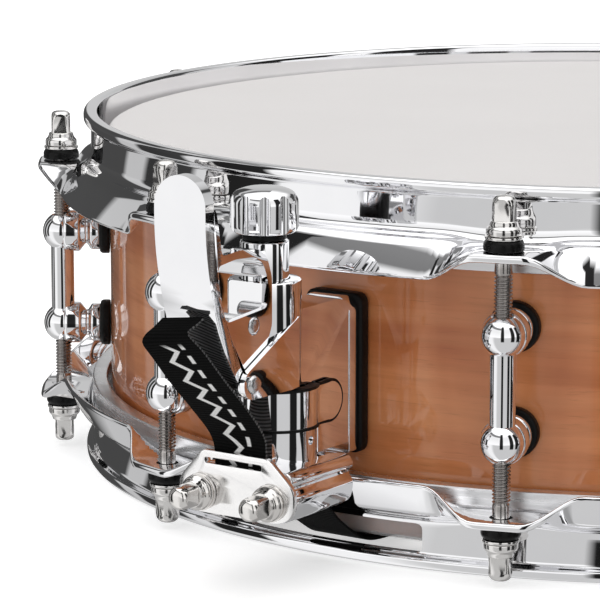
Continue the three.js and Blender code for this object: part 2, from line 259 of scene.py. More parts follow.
class Value:
    # a number that varies over a surface; its operators add Math nodes
    def __init__(self, recipe, socket):
        self.recipe = recipe
        self.socket = socket

    def work(self, operation, first, second):
        return self.recipe.node("ShaderNodeMath", {"operation": operation}, {0: first, 1: second})

    def __add__(self, other):
        return self.work("ADD", self, other)

    def __sub__(self, other):
        return self.work("SUBTRACT", self, other)

    def __rsub__(self, other):
        return self.work("SUBTRACT", other, self)

    def __mul__(self, other):
        return self.work("MULTIPLY", self, other)


class Recipe:
    def __init__(self, tree):
        self.tree = tree

    def node(self, kind, settings, inputs, output=0):
        made = self.tree.nodes.new(kind)
        for name, value in settings.items():
            if name == "stops":
                ramp = made.color_ramp.elements
                while len(ramp) < len(value):
                    ramp.new(0.5)
                for stop, (position, colour) in zip(ramp, value):
                    stop.position = position
                    stop.color = (*colour, 1)
            else:
                setattr(made, name, value)
        for key, value in inputs.items():
            if isinstance(value, Value):
                self.tree.links.new(value.socket, made.inputs[key])
            else:
                made.inputs[key].default_value = value
        return Value(self, made.outputs[output])

    def place(self, scale=(1, 1, 1), output="Object"):
        where = self.node("ShaderNodeTexCoord", {}, {}, output)
        return self.node("ShaderNodeMapping", {}, {"Vector": where, "Scale": scale})

    def noise(self, where, scale, detail=2.0, roughness=0.5, distortion=0.0):
        return self.node("ShaderNodeTexNoise", {}, {
            "Vector": where, "Scale": scale, "Detail": detail, "Roughness": roughness,
            "Distortion": distortion})

    def ramp(self, value, stops):
        return self.node("ShaderNodeValToRGB", {"stops": stops}, {0: value})

    def range(self, value, low, high, newLow=0.0, newHigh=1.0):
        return self.node("ShaderNodeMapRange", {}, {0: value, 1: low, 2: high, 3: newLow, 4: newHigh})

    def mix(self, factor, first, second):
        return self.node("ShaderNodeMix", {"data_type": "RGBA"},
                         {0: factor, 6: first, 7: second}, 2)

    def bump(self, height, strength, distance):
        return self.node("ShaderNodeBump", {}, {
            "Height": height, "Strength": strength, "Distance": distance})


def newMaterial(name, **constants):
    material = bpy.data.materials.new(name)
    material.use_nodes = True
    recipe = Recipe(material.node_tree)
    shader = material.node_tree.nodes["Principled BSDF"]
    for key, value in constants.items():
        shader.inputs[key.replace("_", " ")].default_value = value
    return material, recipe, shader


def feed(recipe, shader, **links):
    for key, value in links.items():
        recipe.tree.links.new(value.socket, shader.inputs[key.replace("_", " ")])


def metalFinish(name, tint, darker, lowRoughness, highRoughness, grain=(1, 1, 1), grainScale=60.0,
                bumpDepth=0.0):
    material, recipe, shader = newMaterial(name, Metallic=1.0)
    where = recipe.place(grain)
    clouds = recipe.noise(where, 18.0, 4.0, 0.6)
    fine = recipe.noise(where, grainScale, 3.0, 0.6)
    wear = recipe.range(clouds * 0.6 + fine * 0.4, 0.35, 0.7)
    feed(recipe, shader,
         Base_Color=recipe.mix(wear, tint, darker),
         Roughness=recipe.range(wear, 0.0, 1.0, lowRoughness, highRoughness))
    if bumpDepth:
        feed(recipe, shader, Normal=recipe.bump(fine, 0.4, bumpDepth))
    return material


def rubberFinish(name, tint, roughness):
    material, recipe, shader = newMaterial(name, Specular_IOR_Level=0.2)
    grains = recipe.noise(recipe.place(), 900.0, 3.0)
    patches = recipe.noise(recipe.place(), 60.0, 2.0)
    feed(recipe, shader,
         Base_Color=recipe.mix(patches, (*[c * 0.6 for c in tint], 1), (*tint, 1)),
         Roughness=recipe.range(grains, 0.3, 0.7, roughness - 0.08, roughness + 0.1),
         Normal=recipe.bump(grains, 0.35, 0.0002))
    return material


def mapleFinish():
    material, recipe, shader = newMaterial(
        "glossMaple", Coat_Weight=1.0, Coat_Roughness=0.02, Coat_IOR=1.5, Specular_IOR_Level=0.3)
    wide = recipe.noise(recipe.place((7, 7, 34)), 1.0, 3.0, 0.55, 0.6)
    figure = recipe.noise(recipe.place((34, 34, 5)), 1.0, 2.0, 0.5, 1.6)
    grain = recipe.noise(recipe.place((16, 16, 260)), 1.0, 5.0, 0.62, 0.4)
    flecks = recipe.noise(recipe.place((90, 90, 1500)), 1.0, 3.0, 0.6)
    bands = recipe.range(recipe.noise(recipe.place((3.2, 3.2, 46)), 1.0, 4.0, 0.5, 1.2), 0.42, 0.62)
    base = recipe.ramp(wide * 0.55 + figure * 0.45, [
        (0.32, (0.44, 0.115, 0.028)), (0.45, (0.58, 0.18, 0.055)),
        (0.57, (0.70, 0.25, 0.09)), (0.70, (0.80, 0.33, 0.14))])
    lines = recipe.mix(recipe.range(grain, 0.45, 0.72) * 0.45, base, (0.42, 0.12, 0.03, 1))
    streaks = recipe.mix(bands * 0.4, lines, (0.84, 0.36, 0.15, 1))
    colour = recipe.mix(recipe.range(flecks, 0.60, 0.74) * 0.35, streaks, (0.34, 0.10, 0.025, 1))
    feed(recipe, shader,
         Base_Color=colour,
         Roughness=recipe.range(grain, 0.3, 0.7, 0.38, 0.5),
         Normal=recipe.bump(flecks, 0.06, 0.0001))
    return material


def coatedFilmFinish():
    material, recipe, shader = newMaterial("coatedFilm", Specular_IOR_Level=0.35)
    grit = recipe.noise(recipe.place(), 2600.0, 3.0, 0.7)
    clouds = recipe.noise(recipe.place(), 14.0, 4.0)
    tone = recipe.mix(clouds, (0.80, 0.775, 0.765, 1), (0.86, 0.835, 0.825, 1))
    feed(recipe, shader,
         Base_Color=recipe.mix(recipe.range(grit, 0.5, 0.75) * 0.25, tone, (0.70, 0.68, 0.67, 1)),
         Roughness=recipe.range(grit, 0.3, 0.7, 0.5, 0.72),
         Normal=recipe.bump(grit, 0.35, 0.00012))
    return material


def clearFilmFinish():
    material, recipe, shader = newMaterial("clearFilm", Specular_IOR_Level=0.6)
    haze = recipe.noise(recipe.place(), 30.0, 4.0)
    feed(recipe, shader,
         Base_Color=recipe.mix(haze, (0.75, 0.77, 0.78, 1), (0.86, 0.87, 0.88, 1)),
         Roughness=recipe.range(haze, 0.3, 0.7, 0.12, 0.22),
         Alpha=recipe.range(haze, 0.3, 0.7, 0.30, 0.42))
    return material


def webbingFinish(name, threadTint, ribTint, printed):
    # u runs across the strap and v along it, both in metres
    material, recipe, shader = newMaterial(name, Specular_IOR_Level=0.05)
    where = recipe.node("ShaderNodeTexCoord", {}, {}, "UV")
    across = recipe.node("ShaderNodeSeparateXYZ", {}, {0: where}, 0)
    along = recipe.node("ShaderNodeSeparateXYZ", {}, {0: where}, 1)
    wave = lambda value, pitch: recipe.node(
        "ShaderNodeMath", {"operation": "SINE"}, {0: value * (2 * math.pi / pitch)})
    ribs = recipe.range(wave(along, 0.0011), -1.0, 1.0)
    threads = recipe.range(wave(across + along * 0.35, 0.0006), -1.0, 1.0)
    fuzz = recipe.noise(where, 3200.0, 3.0)
    height = ribs * 0.6 + threads * 0.25 + fuzz * 0.25
    colour = recipe.mix(recipe.range(height, 0.2, 0.95), (*threadTint, 1), (*ribTint, 1))
    if printed:
        # a plain zigzag with a line of dashes beside it
        saw = recipe.node("ShaderNodeMath", {"operation": "PINGPONG"}, {0: along, 1: 0.0042})
        centre = recipe.node("ShaderNodeMath", {"operation": "ABSOLUTE"}, {0: across - 0.0055 - saw})
        zigzag = recipe.range(centre, 0.0011, 0.0008)
        dash = recipe.node("ShaderNodeMath", {"operation": "PINGPONG"}, {0: along, 1: 0.003})
        beside = recipe.node("ShaderNodeMath", {"operation": "ABSOLUTE"}, {0: across - 0.0125})
        dashes = recipe.range(beside, 0.0008, 0.0005) * recipe.range(dash, 0.0012, 0.0015)
        marks = recipe.node("ShaderNodeMath", {"operation": "MAXIMUM"}, {0: zigzag, 1: dashes})
        reach = recipe.range(along, 0.006, 0.008) * recipe.range(along, 0.058, 0.056)
        worn = marks * reach * recipe.range(fuzz, 0.25, 0.45, 0.55, 1.0)
        colour = recipe.mix(worn, colour, (0.85, 0.85, 0.84, 1))
    feed(recipe, shader,
         Base_Color=colour,
         Roughness=recipe.range(fuzz, 0.3, 0.7, 0.6, 0.85),
         Normal=recipe.bump(height, 0.55, 0.0003))
    return material


chrome = metalFinish("polishedChrome", (0.93, 0.93, 0.94, 1), (0.88, 0.88, 0.90, 1), 0.015, 0.045)
satinChrome = metalFinish(
    "satinChrome", (0.96, 0.95, 0.94, 1), (0.91, 0.90, 0.90, 1), 0.15, 0.24, grainScale=900.0)
def rodFinish():
    # bright heads, oily threads between the two hoops
    material, recipe, shader = newMaterial("rodSteel", Metallic=1.0)
    height = recipe.node("ShaderNodeSeparateXYZ", {}, {0: recipe.place()}, 2)
    fromMiddle = recipe.node("ShaderNodeMath", {"operation": "ABSOLUTE"}, {0: height - middle * unit})
    oily = recipe.range(fromMiddle, 0.038, 0.035)
    marks = recipe.noise(recipe.place(), 160.0, 4.0, 0.6)
    plated = recipe.mix(marks, (0.86, 0.85, 0.84, 1), (0.72, 0.70, 0.68, 1))
    bare = recipe.mix(marks, (0.56, 0.53, 0.51, 1), (0.34, 0.32, 0.31, 1))
    feed(recipe, shader,
         Base_Color=recipe.mix(oily, plated, bare),
         Roughness=recipe.range(marks, 0.3, 0.7, 0.08, 0.2) + oily * 0.04)
    return material


rodSteel = rodFinish()
nickel = metalFinish("nickelPlate", (0.86, 0.84, 0.82, 1), (0.70, 0.67, 0.64, 1), 0.08, 0.2)
steel = metalFinish("plainSteel", (0.72, 0.72, 0.73, 1), (0.55, 0.55, 0.56, 1), 0.18, 0.34)
aluminium = metalFinish(
    "turnedAluminium", (0.86, 0.86, 0.87, 1), (0.74, 0.74, 0.75, 1), 0.22, 0.38, (1, 1, 40), 60.0, 0.00003)
rubber = rubberFinish("blackRubber", (0.004, 0.004, 0.004), 0.45)
nylon = rubberFinish("blackNylon", (0.003, 0.003, 0.003), 0.3)
maple = mapleFinish()
coatedFilm = coatedFilmFinish()
clearFilm = clearFilmFinish()
strapPrinted = webbingFinish(
    "strapPrinted", (0.002, 0.002, 0.002), (0.007, 0.007, 0.007), True)
strapUnderside = webbingFinish("strapUnderside", (0.006, 0.006, 0.006), (0.16, 0.16, 0.16), False)
strapPlain = webbingFinish("strapPlain", (0.002, 0.002, 0.002), (0.009, 0.009, 0.009), False)
print("materials made")


# shell and heads

shellSettings = {"radius": 177.8, "wall": 6, "edgeHeight": 108.2, "steps": 240, "ventRadius": 5,
                 "ventAngle": math.radians(72)}


def makeShell():
    s = shellSettings
    edge = [
        (s["radius"], s["edgeHeight"] - 2.2), (s["radius"] - 1, s["edgeHeight"]),
        (s["radius"] - s["wall"], s["edgeHeight"] - 5)]
    profile = softCorners(edge + [(r, rimHeight - z) for r, z in reversed(edge)], 0.35, 3)
    shell = turn("shellWood", profile, s["steps"])
    hole = bar("hole", s["ventRadius"], 160, 190, (0, middle), "Y")
    ventHole = turnedCopy(hole, "ventHole", s["ventAngle"])
    bpy.data.objects.remove(hole)
    cut(shell, ventHole)
    return finish(smooth(shell), maple, "maple", "drum", "shell")


def makeVent():
    profile = softCorners([
        (3.4, 171), (4.6, 171), (4.6, 178.1), (7, 178.1), (6.8, 179.1), (3.4, 179.1)], 0.5, 3)
    flat = turn("flat", profile, 40, (0, middle), "Y")
    grommet = turnedCopy(flat, "ventGrommet", shellSettings["ventAngle"])
    bpy.data.objects.remove(flat)
    return finish(smooth(grommet), nickel, "nickel", "drum", "vent_grommet")


filmSettings = {"radius": 176.4, "top": 109.1, "thickness": 0.3, "steps": 200}


def makeHead():
    # one film: flat over the edge, rounded, and down into its ring
    s = filmSettings
    top = s["top"]
    crown = [(s["radius"] * share, top) for share in (0, 0.25, 0.5, 0.75, 0.9)]
    crown += [(175.5, top), (176.9, top - 0.1), (177.8, top - 0.6), (178.4, top - 1.5), (178.7, 106.2),
              (179.4, 102), (180.1, 97.5), (181, 96.6)]
    under = [(180.6, 96.3), (179.8, 97.2), (179.1, 102), (178.35, 106.3), (178.1, 107.7), (177.6, top - 0.9),
             (176.8, top - 0.4), (175.5, top - s["thickness"])]
    under += [(s["radius"] * share, top - s["thickness"]) for share in (0.75, 0.25, 0)]
    head = turn("batterHead", crown + under, s["steps"], ring=False)
    ring = turn("batterRing", softCorners([
        (179.3, 89.6), (184.1, 89.6), (184.1, 96), (182.6, 96.9), (181.6, 96.2), (179.3, 96)], 0.5, 3),
        s["steps"])
    snareHead = flippedCopy(head, "snareSideHead")
    snareRing = flippedCopy(ring, "snareSideRing")
    finish(smooth(head, 50), coatedFilm, "coated_film", "drum", "batter_film")
    finish(smooth(ring), aluminium, "aluminium", "drum", "batter_flesh_hoop")
    finish(smooth(snareHead, 50), clearFilm, "clear_film", "drum", "snare_side_film")
    finish(smooth(snareRing), aluminium, "aluminium", "drum", "snare_side_flesh_hoop")


makeShell()
makeVent()
makeHead()
print("shell and heads made")


# wave hoops

hoopSettings = {"steps": 600, "earHalfWidth": 6.6, "skirtStart": 24, "gateHalfWidth": 31, "rodHole": 3.4}
hoopWall = [(181.6, 97.2), (181.6, 115.2), (186.3, 115.2), (186.3, 112), (183.9, 111.2), (183.9, 100.4)]
hoopEar = [(186.6, 97.6), (201.5, 97.6), (201.5, 95.1), (185, 95.1), (184.7, 97.2)]
hoopSkirt = [(188.6, 98.6), (194.4, 88.4), (193.4, 87.4), (186, 96.2), (184.7, 97.2)]
hoopRadii = [0.4, 1.3, 1.5, 0.8, 1.0, 3.0, 3.2, 1.1, 1.1, 2.4, 0.2]


def makeHoops():
    s = hoopSettings
    ear = softCorners(hoopWall + hoopEar, hoopRadii, 4)
    skirt = softCorners(hoopWall + hoopSkirt, hoopRadii, 4)
    hoop = turn("topHoop", ear, s["steps"])
    lookup = {(round(r, 2), round(z, 2)): i for i, (r, z) in enumerate(ear)}
    for vertex in hoop.data.vertices:
        x, y, z = (c / unit for c in vertex.co)
        radius = math.hypot(x, y)
        angle = math.atan2(x, -y)
        distance = abs((angle / lugPitch) % 1 - 0.5) * lugPitch * rodCircle
        share = min(max((distance - s["earHalfWidth"]) / (s["skirtStart"] - s["earHalfWidth"]), 0), 1)
        share = share * share * (3 - 2 * share)
        key = (round(radius, 2), round(z, 2))
        if key not in lookup:
            key = min(lookup, key=lambda k: (k[0] - radius) ** 2 + (k[1] - z) ** 2)
        i = lookup[key]
        newRadius = ear[i][0] + (skirt[i][0] - ear[i][0]) * share
        newHeight = ear[i][1] + (skirt[i][1] - ear[i][1]) * share
        vertex.co = Vector((math.sin(angle) * newRadius, -math.cos(angle) * newRadius, newHeight)) * unit
    bottom = flippedCopy(hoop, "bottomHoop")
    for piece, low, high in ((hoop, 90, 100), (bottom, 15, 25)):
        drill = bar("drill", s["rodHole"], low, high, (0, -rodCircle), "Z", 24)
        drills = [turnedCopy(drill, f"drill{i}", angle) for i, angle in enumerate(lugAngles)]
        bpy.data.objects.remove(drill)
        cut(piece, join("drills", *drills))
    reach = s["gateHalfWidth"]
    gate = softCorners([(-reach, 4.4), (reach, 4.4), (reach, 13.3), (-reach, 13.3)], 2, 3)
    for low, high in ((176, 190), (-190, -176)):
        cut(bottom, slab("gate", gate, low, high, "front"))
    finish(smooth(hoop, 42), chrome, "chrome", "drum", "top_hoop")
    finish(smooth(bottom, 42), chrome, "chrome", "drum", "bottom_hoop")


makeHoops()
print("hoops made")


# lugs and tension rods

lugSettings = {"ballHeight": 15.6, "ballRadius": 6.45, "tubeRadius": 3.85, "bore": 3.0, "steps": 36}


def makeLugs():
    s = lugSettings
    ball = s["ballHeight"]
    ballEnd = math.degrees(math.asin(s["tubeRadius"] / s["ballRadius"]))
    mouth = 32
    upper = arc((0, middle + ball), s["ballRadius"], 90 - mouth, -90 + ballEnd, 14)
    lower = [(r, rimHeight - z) for r, z in reversed(upper)]
    rim = middle + ball + s["ballRadius"] * math.cos(math.radians(mouth))
    profile = [(s["bore"], rim - 1.6)] + upper + lower + [(s["bore"], rimHeight - rim + 1.6)]
    lug = turn("lugFirst", profile, s["steps"], (0, -rodCircle))
    post = softCorners([
        (0, 181.5), (6.3, 181.5), (6.3, 184.3), (4.3, 185.6), (4.3, 186.2), (6.9, 188.2), (6.9, 193),
        (5.5, 194.2), (0, 194.2)], [0, 0.3, 0.5, 1.0, 1.0, 0.5, 0.6, 0.5, 0], 3, False)
    bore = bar("bore", s["bore"], 30, 90, (0, -rodCircle), "Z", s["steps"])
    for side in (-1, 1):
        add(lug, turn("post", post, s["steps"], (0, middle + side * ball), "Y", ring=False))
    cut(lug, bore)
    smooth(lug, 30)
    washer = softCorners([(0, 178.1), (7.6, 178.1), (7.6, 180.6), (7.0, 181.4), (0, 181.4)], 0.5, 3, False)
    gasket = join("gasketFirst", *[
        turn("washer", washer, s["steps"], (0, middle + side * ball), "Y", ring=False) for side in (-1, 1)])
    smooth(gasket)
    for i, angle in enumerate(lugAngles):
        finish(turnedCopy(lug, f"lug{i + 1}", angle), chrome, "chrome", "drum", f"lug_{i + 1}")
        finish(turnedCopy(gasket, f"lugGasket{i + 1}", angle), rubber, "rubber", "drum")
    bpy.data.objects.remove(lug)
    bpy.data.objects.remove(gasket)


keyHead = {"flangeRadius": 5.2, "square": 3.05, "domeRadius": 3.75, "steps": 32}


def makeKeyHead(name, base):
    # round flange, short cone and a square head with a domed end, standing on base
    s = keyHead
    flange = turn(name, softCorners([
        (0, base), (s["flangeRadius"], base), (s["flangeRadius"], base + 1.9), (4.3, base + 2.7),
        (3.9, base + 4.2), (0, base + 4.2)], [0, 0.4, 0.6, 0.8, 0.4, 0], 3, False), s["steps"], ring=False)
    dome = turn("dome", softCorners([
        (0, base + 3.5), (s["domeRadius"], base + 3.5), (s["domeRadius"] - 0.1, base + 9.6),
        (2.6, base + 11.2), (0, base + 11.6)], [0, 0.2, 1.6, 1.4, 0], 4, False), s["steps"], ring=False)
    half = s["square"]
    prism = slab("prism", softCorners([(-half, -half), (half, -half), (half, half), (-half, half)], 0.5, 2),
                 base + 3, base + 13, "level")
    carve(dome, "INTERSECT", prism)
    add(flange, dome)
    return roundEdges(flange, 0.18, 2, 40)


rodSettings = {"radius": 2.75, "root": 2.28, "pitch": 1.06, "shankEnd": 65.6, "threadTop": 91, "steps": 14}


def makeThread(name, radius, root, pitch, low, high, steps):
    # one turn of thread wound up the shank
    turns = int((high - low) / pitch)
    drawChain([(root, 0, low), (root, 0, low + pitch * 0.12), (radius, 0, low + pitch * 0.45),
               (radius, 0, low + pitch * 0.55), (root, 0, low + pitch * 0.9), (root, 0, low + pitch)])
    bpy.ops.object.mode_set(mode="OBJECT")
    thread = named(name)
    pick(thread)
    wind = thread.modifiers.new("wind", "SCREW")
    wind.axis = "Z"
    wind.steps = steps
    wind.render_steps = steps
    wind.screw_offset = pitch * unit
    wind.iterations = turns
    wind.use_merge_vertices = True
    bpy.ops.object.modifier_apply(modifier=wind.name)
    bpy.ops.object.mode_set(mode="EDIT")
    bpy.ops.mesh.select_all(action="SELECT")
    bpy.ops.mesh.remove_doubles(threshold=2e-6)
    bpy.ops.mesh.select_all(action="DESELECT")
    bpy.ops.mesh.select_non_manifold(extend=False)
    bpy.ops.mesh.edge_face_add()
    return settle(name)


def makeRods():
    s = rodSettings
    thread = makeThread(
        "thread", s["radius"], s["root"], s["pitch"], s["shankEnd"], s["threadTop"], s["steps"])
    core = turn("core", softCorners([
        (0, 65), (1.6, 65), (2.2, 66), (2.2, 90.6), (2.6, 91.2), (2.6, 102), (0, 102)],
        [0, 0.3, 0.3, 0.2, 0.3, 0, 0], 2, False), 24, ring=False)
    head = makeKeyHead("head", 102.3)
    washer = turn("steelWasher", softCorners([
        (2.9, 101.2), (5.6, 101.2), (5.6, 102.1), (2.9, 102.1)], 0.25, 2), 32)
    smooth(thread, 25)
    rod = smooth(join("rodFirst", core, thread, head, washer), 30)
    rod.location = (0, -rodCircle * unit, 0)
    pick(rod)
    bpy.ops.object.transform_apply(location=True)
    cushion = turn("cushionFirst", softCorners([
        (2.9, 97.9), (5.9, 97.9), (5.9, 99.9), (5.2, 101.1), (2.9, 101.1)], 0.4, 3), 32, (0, -rodCircle))
    smooth(cushion)
    for side, flip in (("top", False), ("bottom", True)):
        source = flippedCopy(rod, "rodSource") if flip else rod
        ring = flippedCopy(cushion, "cushionSource") if flip else cushion
        for i, angle in enumerate(lugAngles):
            finish(turnedCopy(source, f"{side}Rod{i + 1}", angle), rodSteel, "nickel", "drum",
                   f"{side}_tension_rod_{i + 1}")
            finish(turnedCopy(ring, f"{side}RodWasher{i + 1}", angle), nylon, "rubber", "drum")
        if flip:
            bpy.data.objects.remove(source)
            bpy.data.objects.remove(ring)
    bpy.data.objects.remove(rod)
    bpy.data.objects.remove(cushion)


makeLugs()
makeRods()
print("lugs and rods made")


# strainer

housingSettings = {"towerRadius": 10.6, "towerTop": 31, "bore": 7.4, "plateInner": 9.1, "plateOuter": 10.7}
pivot = (237.4, 4.7)          # (r, height from the middle)
camPin = (234.5, 20.8)


def pinThrough(place, radius, reach):
    return bar("pinHole", radius, -reach, reach, (place[0], middle + place[1]), "X", 24)


def makeHousing():
    s = housingSettings
    floor = middle - 0.2
    top = middle + s["towerTop"]
    pad = slab("strainerPad", softCorners(raised([(-10, -26), (10, -26), (10, 22), (-10, 22)]), 3.5, 5),
               178.1, 182.4, "front")
    finish(smooth(roundEdges(pad, 0.9, 3)), rubber, "rubber", "drum", "strainer_pad")
    housing = turn("strainerHousing", softCorners([
        (0, floor), (s["towerRadius"], floor), (s["towerRadius"], top), (8.2, top), (0, top)],
        [0, 0.6, 0.9, 0.3, 0], 3, False), 56, (0, -towerR), ring=False)
    base = slab("base", softCorners(raised([
        (-9, -25), (9, -25), (9, 18), (6, 21.5), (-6, 21.5), (-9, 18)]), 1.2, 3), 182.8, 187, "front")
    roundEdges(base, 0.7, 3)
    neck = slab("neck", softCorners([(184, floor), (212, floor), (212, middle + 22), (190, middle + 22),
                                     (184, middle + 18)], [0, 0, 0, 5, 2], 4), -8.7, 8.7, "side")
    guide = slab("guide", softCorners([(-8.7, 185), (8.7, 185), (8.7, 203), (-8.7, 203)], 0.8, 3),
                 middle - 21.5, middle + 1, "level")
    add(housing, base, neck, guide)
    plate = softCorners(raised(
        [(towerR - 2, -0.2)] + arc(pivot, 4.4, 270, 425, 12) + [(towerR - 2, 20.6)]), 0.01, 1)
    plates = [slab("plate", plate, low, high, "side") for low, high in (
        (s["plateInner"], s["plateOuter"]), (-s["plateOuter"], -s["plateInner"]))]
    add(housing, *plates)
    inner = s["plateInner"]
    cut(housing,
        bar("bore", s["bore"], middle - 10, middle + 50, (0, -towerR), "Z", 48),
        block(-inner, inner, 225.2, 250, middle - 10, middle + 50),
        pinThrough(pivot, 2.8, 20))
    roundEdges(housing, 0.32, 2, 35)
    finish(smooth(housing, 30), chrome, "chrome", "drum", "strainer_housing")
    for name, place, reach, node in (
            ("leverPivotPin", pivot, 11.8, "lever_pivot_pin"),
            ("leverCamPin", camPin, 9.4, "lever_cam_pin")):
        pin = turn(name, softCorners([
            (0, -reach), (2.0, -reach + 0.1), (2.65, -reach + 0.9), (2.65, reach - 0.9), (2.0, reach - 0.1),
            (0, reach)], 0.5, 3, False), 28, (place[0], middle + place[1]), "X", ring=False)
        body = "drum" if node == "lever_pivot_pin" else "lever"
        finish(smooth(pin, 40), steel, "steel", body, node)


knobSettings = {"floor": 44.3, "top": 57.5, "radius": 9.85, "flutes": 10, "fluteRadius": 1.9}


def makeKnob():
    s = knobSettings
    floor = middle + s["floor"]
    top = middle + s["top"]
    knob = turn("adjustingKnob", softCorners([
        (0, floor), (s["radius"] - 1.2, floor), (s["radius"], floor + 1.4), (s["radius"], top - 3.6),
        (8.6, top - 1.5), (5.2, top - 0.2), (0, top)], [0, 0.6, 0.8, 1.4, 1.4, 2, 0], 4, False),
        80, (0, -towerR), ring=False)
    socket = bar("socket", 2.8, floor - 2, floor + 3.3, (0, -towerR), "Z", 24)
    for i in range(s["flutes"]):
        angle = 2 * math.pi * (i + 0.5) / s["flutes"]
        reach = s["radius"] + 0.75
        place = (reach * math.cos(angle), -towerR + reach * math.sin(angle))
        cut(knob, bar("flute", s["fluteRadius"], floor - 3, top + 3, place, "Z", 20))
    cut(knob, socket)
    roundEdges(knob, 0.4, 3, 35)
    finish(smooth(knob, 40), chrome, "chrome", "knob", "adjusting_knob")
    tube = turn("liftTube", softCorners([
        (2.8, middle + 0.4), (7, middle + 0.4), (7, middle + 42), (2.8, middle + 42)], 0.5, 3),
        56, (0, -towerR))
    finish(smooth(tube), chrome, "chrome", "lift", "lift_tube")
    ring = turn("knobRing", softCorners([
        (2.8, middle + 42.3), (6.35, middle + 42.3), (6.35, middle + 44), (2.8, middle + 44)], 0.5, 3),
        40, (0, -towerR))
    finish(smooth(ring), rubber, "rubber", "lift", "knob_ring")


leverSettings = {"halfWidth": 8.8, "cheek": 1.9, "top": 65.5, "flange": 4.0, "skin": 1.3}
leverFace = [(257, 70), (257, 65.5), (257.2, 45), (252.5, 25), (246.5, 12), (241.6, 4.9), (239.5, 2)]


def leverBand(depthFront, depthBack):
    face = softCorners(leverFace, [0, 0, 12, 12, 8, 3, 0], 5, False)
    return raised([(r - depthFront, z) for r, z in face] + [(r - depthBack, z) for r, z in reversed(face)])


def thumbOutline(inset):
    half = leverSettings["halfWidth"] - inset
    centre = leverSettings["top"] - leverSettings["halfWidth"]
    return raised([(-half, 5), (half, 5)] + arc((0, centre), half, 0, 180, 28))


def makeLever():
    s = leverSettings
    half = s["halfWidth"]
    pan = slab("throwLever", leverBand(0, s["flange"]), -half - 2, half + 2, "side")
    carve(pan, "INTERSECT", slab("thumb", thumbOutline(0), 225, 280, "front"))
    roundEdges(pan, 1.15, 4, 50)
    hollow = slab("hollow", leverBand(s["skin"], 12), -half - 2, half + 2, "side")
    carve(hollow, "INTERSECT", slab("inset", thumbOutline(s["skin"]), 225, 280, "front"))
    cut(pan, hollow)
    cheek = raised([(255, 56), (256.2, 45), (251.6, 25), (245.8, 12)] + arc(pivot, 4.1, 0, -180, 12) + [
        (225.7, 19.5), (225.7, 33.5), (228, 39.5), (232.4, 42.3), (241, 43.2), (249.4, 42.6), (252, 56)])
    cheek = softCorners(cheek, 1.4, 2)
    window = softCorners(raised([
        (228.2, 25), (227.7, 33), (230, 38), (234, 40.3), (243, 40.9), (251.2, 40), (250.4, 28),
        (247, 23.5)]), 1.5, 4)
    saddle = softCorners(raised([
        (225.7, 33), (228, 39.5), (232.4, 42.3), (241, 43.2), (250, 42.4), (254.6, 44), (254.6, 42),
        (250, 40), (241, 41), (234, 40.3), (230, 38), (227.7, 33)]), 1.2, 3)
    cheeks = [slab("cheek", cheek, low, high, "side") for low, high in (
        (half - s["cheek"], half), (-half, s["cheek"] - half))]
    for side in cheeks:
        cut(side, slab("window", window, -20, 20, "side"))
    add(pan, *cheeks)
    add(pan, slab("saddle", saddle, -half + 0.4, half - 0.4, "side"))
    cut(pan, pinThrough(pivot, 2.8, 20), pinThrough(camPin, 2.75, 20))
    roundEdges(pan, 0.28, 2, 40)
    finish(smooth(pan, 35), chrome, "chrome", "lever", "throw_lever")


makeHousing()
makeKnob()
makeLever()
print("strainer top made")


carriageSettings = {"centre": 211.5, "upperRadius": 12.3, "lowerRadius": 11.9, "noseRadius": 5.6,
                    "slotHalfWidth": 9.1, "slotEnd": 203.5, "screwSpacing": 24.6,
                    "screwHeight": -30.5, "plateFace": 229.4, "plateBack": 231.4}


def screwHoles(low, high):
    s = carriageSettings
    return [bar("hole", 2.8, low, high, (side * s["screwSpacing"] / 2, middle + s["screwHeight"]), "Y", 24)
            for side in (-1, 1)]


def bossOutline():
    right = [
        (0, -22.2), (15.8, -22.2), (17.3, -24), (17.3, -25.8), (15.3, -27.2), (17.3, -29.6), (17.4, -31.6),
        (16.6, -34.8), (15.2, -36.6), (13.4, -37.4), (11.4, -36.8), (10.0, -35.2), (9.5, -33.7), (0, -33.7)]
    return softCorners(raised(right + [(-t, z) for t, z in reversed(right[1:-1])]), 1.1, 3)


